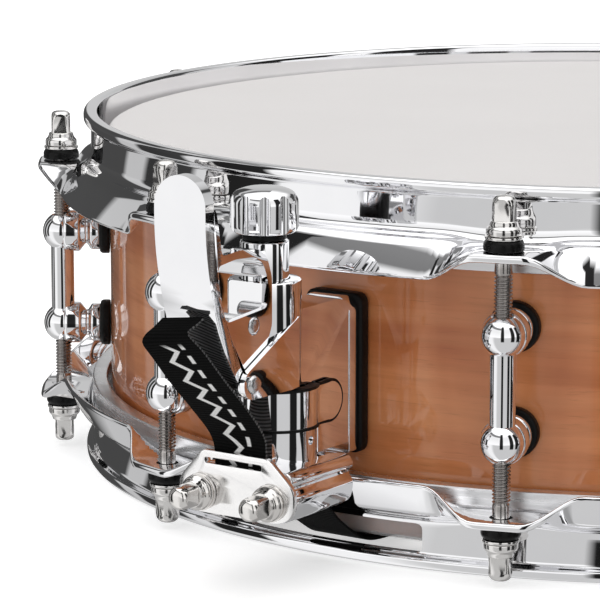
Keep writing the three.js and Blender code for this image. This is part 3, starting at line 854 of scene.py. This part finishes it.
def makeCarriage():
    s = carriageSettings
    upper = middle - 1.3
    seam = middle - 12.2
    centre = s["centre"]
    body = add(
        bar("strainerCarriage", s["upperRadius"], seam, upper, (0, -centre), "Z", 64),
        block(-10.4, 10.4, 199, centre, seam, upper),
        bar("nose", s["noseRadius"], -10.4, 10.4, (198.5, middle - 6.75), "X", 40),
        bar("lower", s["lowerRadius"], middle - 24, seam - 0.7, (0, -centre), "Z", 64))
    seat = slab("seat", bossOutline(), 197, 228.2, "front")
    roundEdges(seat, 0.9, 3, 60)
    add(body, seat, bar("spine", 10.6, middle - 24, seam + 1, (0, -centre), "Z", 48))
    cut(body, bar("bore", 2.8, middle - 21.5, middle + 5, (0, -towerR), "Z", 24),
        bar("setScrew", 1.3, 10.8, 13, (210.8, middle - 16.2), "X", 20),
        block(-s["slotHalfWidth"], s["slotHalfWidth"], 180, s["slotEnd"], middle - 22, middle))
    roundEdges(body, 0.25, 2, 40)
    finish(smooth(body, 32), chrome, "chrome", "lift", "strainer_carriage")
    outline = arc((0, centre), s["upperRadius"] + 0.35, -30, 210, 36)
    seal = slab("carriageSeal", outline, seam - 0.75, seam + 0.05, "level")
    top = slab("topSeal", outline, upper - 0.05, upper + 0.8, "level")
    cut(seal, bar("hollow", 10.7, seam - 5, seam + 5, (0, -centre), "Z", 40))
    cut(top, bar("hollow", 9.5, upper - 5, upper + 5, (0, -centre), "Z", 40))
    noseRing = raised(
        arc((198.5, -6.75), s["noseRadius"] + 0.85, 90, 270, 20) + [(204, -12.95), (204, -0.5)])
    sides = [slab("sideSeal", noseRing, low, high, "side") for low, high in ((9.3, 10.2), (-10.2, -9.3))]
    finish(smooth(join("carriageSeals", seal, top, *sides)), rubber, "rubber", "lift")


plateOutline = [(-20, -27), (-12, -18), (11, -18), (20, -26), (20, -32), (18.6, -34.8), (14.5, -36.5),
                (-14.5, -36.5), (-18.6, -34.8), (-20, -32)]
slotOutline = [(-11, -21.8), (9, -21.8), (9, -20.1), (-8, -20.1), (-8.2, -20.8), (-8.9, -20.8),
               (-9.1, -20.1), (-11, -20.1)]


def makePlate(name, face, back):
    plate = slab(name, softCorners(raised(plateOutline), [2, 1.5, 1.5, 3, 2, 2, 2, 2, 2, 2], 5),
                 face, back, "front")
    cut(plate, slab("slot", softCorners(raised(slotOutline), [0.8, 0.8, 0.8, 0.2, 0.2, 0.2, 0.2, 0.8], 3),
                    face - 5, back + 5, "front"))
    cut(plate, *screwHoles(face - 5, back + 5))
    return smooth(roundEdges(plate, 0.28, 2, 40))


def makeClampScrew(name, face, side):
    # the same square head as the tension rods, laid outwards through the plate
    s = carriageSettings
    head = makeKeyHead("head", face + 0.9)
    washer = turn("washer", softCorners([(2.9, face + 0.05), (5.5, face + 0.05), (5.5, face + 0.85),
                                         (2.9, face + 0.85)], 0.25, 2), 32)
    shank = bar("shank", 2.5, face - 10, face + 1, (0, 0), "Z", 24)
    screw = join(name, head, washer, shank)
    screw.rotation_euler = (math.pi / 2, 0, 0)
    screw.location = Vector((side * s["screwSpacing"] / 2, 0, middle + s["screwHeight"])) * unit
    pick(screw)
    bpy.ops.object.transform_apply(location=True, rotation=True)
    return smooth(screw, 30)


def makeClamp():
    s = carriageSettings
    plate = makePlate("clampPlate", s["plateFace"], s["plateBack"])
    finish(plate, satinChrome, "chrome", "lift", "clamp_plate")
    for name, side, node in (
            ("clampScrewLeft", -1, "clamp_screw_left"), ("clampScrewRight", 1, "clamp_screw_right")):
        finish(makeClampScrew(name, s["plateBack"], side), nickel, "nickel", "lift", node)


makeCarriage()
makeClamp()
print("strainer carriage made")


# straps

def evenCurve(points, count):
    # a smooth line through the points, cut into equal steps
    fine = []
    total = len(points)
    for i in range(total - 1):
        a, b = Vector(points[max(i - 1, 0)]), Vector(points[i])
        c, d = Vector(points[i + 1]), Vector(points[min(i + 2, total - 1)])
        for k in range(20):
            t = k / 20
            fine.append(0.5 * ((2 * b) + (c - a) * t + (2 * a - 5 * b + 4 * c - d) * t * t
                               + (3 * b - a - 3 * c + d) * t ** 3))
    fine.append(Vector(points[-1]))
    lengths = [0]
    for start, end in zip(fine, fine[1:]):
        lengths.append(lengths[-1] + (end - start).length)
    result = []
    j = 0
    for i in range(count):
        target = lengths[-1] * i / (count - 1)
        while j < len(lengths) - 2 and lengths[j + 1] < target:
            j += 1
        share = (target - lengths[j]) / max(lengths[j + 1] - lengths[j], 1e-9)
        result.append(fine[j].lerp(fine[j + 1], min(share, 1)))
    return result, lengths[-1]


def makeStrap(name, leftEdge, rightEdge, columns=10, rows=70, thickness=0.75):
    # woven strip between two edge lines; points are (x, r, height)
    left, leftLength = evenCurve(leftEdge, rows)
    right, rightLength = evenCurve(rightEdge, rows)
    length = (leftLength + rightLength) / 2
    points = []
    for start, end in zip(left, right):
        for k in range(columns + 1):
            x, r, z = start.lerp(end, k / columns)
            points.append((x * unit, -r * unit, z * unit))
    across = columns + 1
    faces = [(i * across + k, i * across + k + 1, (i + 1) * across + k + 1, (i + 1) * across + k)
             for i in range(rows - 1) for k in range(columns)]
    mesh = bpy.data.meshes.new(name)
    mesh.from_pydata(points, [], faces)
    layer = mesh.uv_layers.new(name="strapUV")
    for loop in mesh.loops:
        i, k = divmod(loop.vertex_index, across)
        layer.data[loop.index].uv = (k / columns * 0.018, i / (rows - 1) * length * unit)
    strap = bpy.data.objects.new(name, mesh)
    bpy.context.collection.objects.link(strap)
    pick(strap)
    thick = strap.modifiers.new("thick", "SOLIDIFY")
    thick.thickness = thickness * unit
    thick.offset = 0
    thick.use_even_offset = False
    thick.material_offset = 1
    thick.material_offset_rim = 1
    strap.data.materials.append(strapPlain)
    strap.data.materials.append(strapPlain)
    bpy.ops.object.modifier_apply(modifier=thick.name)
    smooth(strap, 60)
    print(name, "is", round(length, 1), "mm long")
    return strap, length * unit


def straight(route, half=9):
    return [(-half, r, z) for r, z in route], [(half, r, z) for r, z in route]


def dressStrap(strap, upper, under, body, node):
    strap.data.materials[0] = upper
    strap.data.materials[1] = under
    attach(strap, body)
    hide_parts(node)
    return strap


gateRun = [(153, 3), (170, 3.6), (178, 5), (184, 8)]
tailLeft = [(-9, 228.8, 28.8), (-9, 228.8, 39), (-9.3, 231, 45), (-9.8, 238.5, 53), (-10, 248, 62),
            (-10.2, 256, 70.5), (-10.4, 260.6, 75.5), (-9.8, 260.4, 77.6), (-8.4, 258.2, 79.6),
            (-7.2, 255.5, 82)]
tailRight = [(9, 228.8, 28.8), (9, 228.8, 40), (9, 230.2, 46), (8, 236.6, 54.5), (6.5, 245.6, 64.5),
             (4.5, 252.6, 73.5), (2.8, 257.2, 78.8), (3.6, 257, 80.4), (5, 255.6, 81.8), (6.3, 254.4, 83.6)]


def makeStraps():
    run, runLength = makeStrap("strapRun", *straight(
        gateRun + [(192, 13.5), (199, 20), (204, 22.3), (216, 22.4), (226.5, 22.4), (228.4, 22.9),
                   (228.8, 24.6), (228.8, 28)]))
    dressStrap(run, strapPlain, strapPlain, "drum", "strap_run")
    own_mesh(run)
    tail, tailLength = makeStrap("strapTail", tailLeft, tailRight)
    dressStrap(tail, strapPrinted, strapUnderside, "lift", "strap_tail")
    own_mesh(tail)
    buttRun = gateRun + [(198, 11.5), (208, 13.6), (212.2, 15.6), (212.6, 18.6), (212.6, 42), (215, 45.5),
                         (219, 47.5)]
    left, right = straight([(-r, z) for r, z in buttRun])
    butt, buttLength = makeStrap("buttStrap", left, right)
    dressStrap(butt, strapPlain, strapPlain, "drum", "butt_strap")


makeStraps()
print("straps made")


# butt plate

buttSettings = {"face": 213.2, "back": 215.2}


def makeButt():
    s = buttSettings
    half = math.pi
    pad = slab("pad", softCorners([(-19, 30), (19, 30), (19, 59), (-19, 59)], 3, 4), 178.1, 180.5, "front")
    roundEdges(pad, 0.6, 2)
    bracket = slab("bracket", softCorners([
        (180.8, 31), (200, 31), (203, 28), (203, 18.6), (212, 18.6), (212, 36), (207, 41), (188, 46),
        (184.5, 58), (180.8, 58)], [1, 2, 1, 2, 1, 2, 3, 3, 2, 1], 4), -17.5, 17.5, "side")
    cut(bracket, *screwHoles(200, 225))
    roundEdges(bracket, 0.8, 3, 40)
    plate = makePlate("plate", s["face"], s["back"])
    parts = [(pad, "buttPad", rubber, "rubber", "butt_pad"),
             (bracket, "buttBracket", chrome, "chrome", "butt_bracket"),
             (plate, "buttClampPlate", satinChrome, "chrome", "butt_clamp_plate")]
    for side, name, node in (
            (-1, "buttScrewLeft", "butt_screw_left"), (1, "buttScrewRight", "butt_screw_right")):
        parts.append((makeClampScrew("screw", s["back"], side), name, nickel, "nickel", node))
    for source, name, material, slotName, node in parts:
        finish(smooth(turnedCopy(source, name, half), 35), material, slotName, "drum", node)
        bpy.data.objects.remove(source)


# snare wires

wireSettings = {"count": 20, "pitch": 2.1, "reach": 150, "coilRadius": 0.62, "wireRadius": 0.16,
                "coilPitch": 2.0, "height": 4.8, "steps": 7}


def makeWires():
    s = wireSettings
    start = Vector((s["coilRadius"], 0, -s["reach"]))
    wire = s["wireRadius"]
    drawChain([start + Vector((wire * math.cos(a), 0, wire * math.sin(a))) for a in (0.5, 2.6, 4.7)])
    closeChain()
    bpy.ops.object.mode_set(mode="OBJECT")
    coil = named("coil")
    pick(coil)
    wind = coil.modifiers.new("wind", "SCREW")
    wind.axis = "Z"
    wind.steps = s["steps"]
    wind.render_steps = s["steps"]
    wind.screw_offset = s["coilPitch"] * unit
    wind.iterations = int(2 * s["reach"] / s["coilPitch"])
    bpy.ops.object.modifier_apply(modifier=wind.name)
    bpy.ops.object.mode_set(mode="EDIT")
    settle("coil")
    coil.rotation_euler = (math.pi / 2, 0, 0)
    coil.location = (0, 0, s["height"] * unit)
    pick(coil)
    bpy.ops.object.transform_apply(location=True, rotation=True)
    strands = []
    for i in range(s["count"]):
        pick(coil)
        bpy.ops.object.duplicate(linked=False)
        strand = named(f"strand{i}")
        strand.location = ((i - (s["count"] - 1) / 2) * s["pitch"] * unit, 0, 0)
        bpy.ops.object.transform_apply(location=True)
        strands.append(strand)
    bpy.data.objects.remove(coil)
    finish(smooth(join("snareCoils", *strands), 80), steel, "steel", "drum", "snare_wires")
    outline = softCorners([(-22, 149), (22, 149), (22, 161), (-22, 161)], 2, 4)
    plates = [slab("plate", [(x, side * r) for x, r in outline], 3.9, 5.7, "level") for side in (-1, 1)]
    for plate in plates:
        roundEdges(plate, 0.3, 2)
    finish(smooth(join("snareEndPlates", *plates)), nickel, "steel", "drum")


makeButt()
makeWires()
print("butt plate and snare wires made")

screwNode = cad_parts["adjusting_screw"]
screwNode.data.materials.clear()
screwNode.data.materials.append(steel)


# room, light and camera

cameraSettings = {
    "place": (0.57264, -1.01784, 0.2662), "direction": (-0.5635, 0.8054, -0.1838), "lens": 210.3}
roomSettings = {"brightness": 1.0, "slitHalfWidth": 0.13, "floorGlow": 0.55}


def makeRoom():
    bpy.ops.mesh.primitive_plane_add(size=30, location=(0, 0, -0.0004))
    floor = named("studioFloor")
    paint, recipe, shader = newMaterial("studioWhite", Roughness=0.9, Specular_IOR_Level=0.0)
    shader.inputs["Emission Color"].default_value = (1, 1, 1, 1)
    seen = recipe.node("ShaderNodeLightPath", {}, {}, "Is Camera Ray")
    clouds = recipe.noise(recipe.place(), 3.0)
    feed(recipe, shader,
         Base_Color=recipe.mix(clouds, (0.80, 0.80, 0.80, 1), (0.83, 0.83, 0.83, 1)),
         Emission_Strength=seen * roomSettings["floorGlow"])
    floor.data.materials.append(paint)
    floor.visible_glossy = False


def makeSky():
    # wide soft boxes all round, with a dark slit and dark seams between them
    world = bpy.data.worlds.new("studioLight")
    bpy.context.scene.world = world
    world.use_nodes = True
    recipe = Recipe(world.node_tree)
    way = recipe.node("ShaderNodeTexCoord", {}, {}, "Generated")
    split = lambda axis: recipe.node("ShaderNodeSeparateXYZ", {}, {0: way}, axis)
    x, y, z = split(0), split(1), split(2)
    toward = x * 0.4903 - y * 0.8716
    aside = x * 0.8716 + y * 0.4903
    azimuth = recipe.node("ShaderNodeMath", {"operation": "ARCTAN2"}, {0: aside, 1: toward})

    def seam(centre, halfWidth, soft):
        distance = recipe.node("ShaderNodeMath", {"operation": "ABSOLUTE"}, {0: azimuth - centre})
        return recipe.range(distance, halfWidth + soft, halfWidth)

    # each seam: centre and half width in radians, highest point, how dark
    band = recipe.range(z, 0.60, 0.63) * recipe.range(z, 0.76, 0.72)
    dark = band * recipe.range(azimuth, 0.1, -0.05) * 0.8
    aboveFloor = recipe.range(z, -0.42, -0.34)
    for centre, halfWidth, high, depth in (
            (0.0, roomSettings["slitHalfWidth"], 0.80, 1.0), (-1.50, 0.12, 0.7, 1.0), (0.95, 0.16, 0.7, 1.0),
            (-1.95, 0.14, 0.6, 0.95), (1.55, 0.22, 0.6, 1.0), (2.4, 0.25, 0.5, 0.9), (-2.6, 0.30, 0.5, 0.9)):
        strip = seam(centre, halfWidth, 0.04) * recipe.range(z, high + 0.04, high) * aboveFloor * depth
        dark = recipe.node("ShaderNodeMath", {"operation": "MAXIMUM"}, {0: dark, 1: strip})
    low = recipe.range(azimuth, -0.70, -0.95, 0.62, 0.98)
    rise = recipe.range(z, -0.06, 0.03)
    high = recipe.range(z, 0.0, 0.45, 1.12, 0.95) + recipe.range(z, 0.6, 1.0, 0.0, 0.75)
    sides = recipe.node("ShaderNodeMath", {"operation": "ABSOLUTE"}, {0: azimuth})
    shade = 1 - recipe.range(sides, 1.3, 2.0, 0.0, 0.45) * recipe.range(z, 0.7, 0.55)
    level = (1 - dark * 0.98) * (low * (1 - rise) + high * rise) * shade * roomSettings["brightness"]
    glow = world.node_tree.nodes["Background"]
    glow.inputs["Color"].default_value = (1, 1, 1, 1)
    recipe.tree.links.new(level.socket, glow.inputs["Strength"])


def makeCamera():
    s = cameraSettings
    bpy.ops.object.camera_add(location=s["place"])
    camera = bpy.context.object
    camera.rotation_euler = Vector(s["direction"]).to_track_quat("-Z", "Y").to_euler()
    camera.data.lens = s["lens"]
    camera.data.sensor_width = 36
    camera.data.clip_start = 0.05
    camera.data.clip_end = 60
    bpy.context.scene.camera = camera


makeRoom()
makeSky()
makeCamera()
bpy.context.scene.view_settings.view_transform = "Standard"
print("room, light and camera made")
